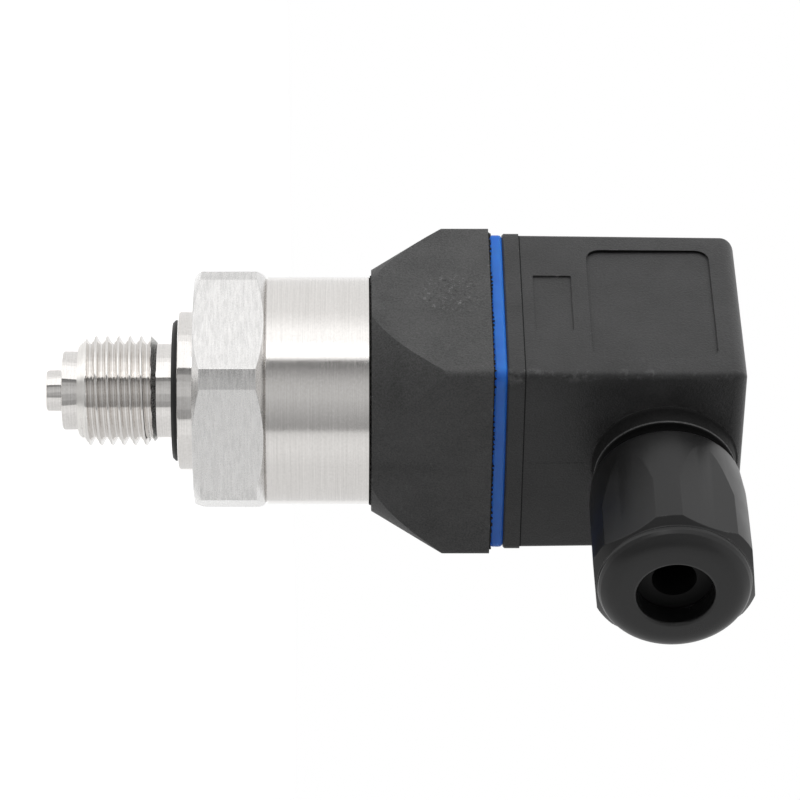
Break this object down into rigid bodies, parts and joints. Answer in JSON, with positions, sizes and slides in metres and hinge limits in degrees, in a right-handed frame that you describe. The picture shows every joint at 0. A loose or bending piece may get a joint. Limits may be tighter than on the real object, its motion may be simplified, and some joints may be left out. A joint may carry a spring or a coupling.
{
  "type": "pressure transmitter",
  "caption": "Compact pressure transmitter: threaded steel port and hexagon, round case, square black angled plug with blue gasket and cable gland.",
  "frame": {"origin": "on the main axis, in the plane of the collar's sealing face", "axes": "+Z along the main axis from the threaded port to the plug, +X along the cable gland, -Y out of the face with the label pad"},
  "size_m": [0.0509, 0.0294, 0.0821],
  "materials": {
    "stainless_steel": "fine turned and brushed stainless steel",
    "plated_steel": "zinc-plated steel",
    "tinned_brass": "tinned brass",
    "lead_wire": "gold-flashed pin",
    "ceramic": "fired alumina",
    "board_laminate": "green solder resist on glass laminate",
    "chip_moulding": "black epoxy moulding",
    "capacitor_body": "tan ceramic",
    "black_polyamide": "matt glass-filled black polyamide",
    "black_nut_polyamide": "satin black polyamide",
    "dark_grey_polyamide": "dark grey polyamide",
    "black_rubber": "black nitrile rubber",
    "blue_silicone": "blue silicone rubber"
  },
  "bodies": {
    "transmitter": {"process_connection": "stainless_steel", "sealing_ring": "black_rubber", "cell_o_ring": "black_rubber", "pressure_cell": "ceramic", "clamp_ring": "plated_steel", "case_sleeve": "stainless_steel", "cell_leads": "lead_wire", "main_board": "board_laminate", "amplifier_chip": "chip_moulding", "capacitors": "capacitor_body", "terminal_board": "board_laminate", "plug_base": "black_polyamide", "base_o_ring": "black_rubber", "screw_insert": "tinned_brass", "contact_blade_1": "tinned_brass", "contact_blade_2": "tinned_brass", "contact_blade_3": "tinned_brass", "earth_blade": "tinned_brass", "profile_gasket": "blue_silicone"},
    "plug": {"connector_housing": "black_polyamide", "terminal_block": "dark_grey_polyamide", "fork_contact_1": "tinned_brass", "fork_contact_2": "tinned_brass", "fork_contact_3": "tinned_brass", "earth_fork": "tinned_brass", "terminal_screws": "plated_steel", "screw_seal": "black_rubber", "gland_grommet": "black_rubber"},
    "screw_washer": {"screw_washer": "plated_steel"},
    "centre_screw": {"centre_screw": "plated_steel"},
    "thrust_ring": {"thrust_ring": "black_nut_polyamide"},
    "gland_nut": {"gland_nut": "black_nut_polyamide"}
  },
  "joints": [
    {"name": "plug_pull", "type": "slide", "parent": "transmitter", "child": "plug", "axis": [0, 0, 1], "range_m": [0, 0.025]},
    {"name": "screw_lift", "type": "slide", "parent": "plug", "child": "screw_washer", "axis": [0, 0, 1], "range_m": [0, 0.004]},
    {"name": "screw_turn", "type": "hinge", "parent": "screw_washer", "child": "centre_screw", "pos_m": [0, 0, 0.0637], "axis": [0, 0, 1], "range_deg": [0, 2880]},
    {"name": "nut_back_off", "type": "slide", "parent": "plug", "child": "thrust_ring", "axis": [1, 0, 0], "range_m": [0, 0.00988]},
    {"name": "nut_turn", "type": "hinge", "parent": "thrust_ring", "child": "gland_nut", "pos_m": [0.0272, 0, 0.05695], "axis": [1, 0, 0], "range_deg": [0, 2520]}
  ],
  "couplings": [
    {"joint": "screw_turn", "follows": "screw_lift", "rad_per_m": 12566},
    {"joint": "nut_turn", "follows": "nut_back_off", "rad_per_m": 4453}
  ]
}
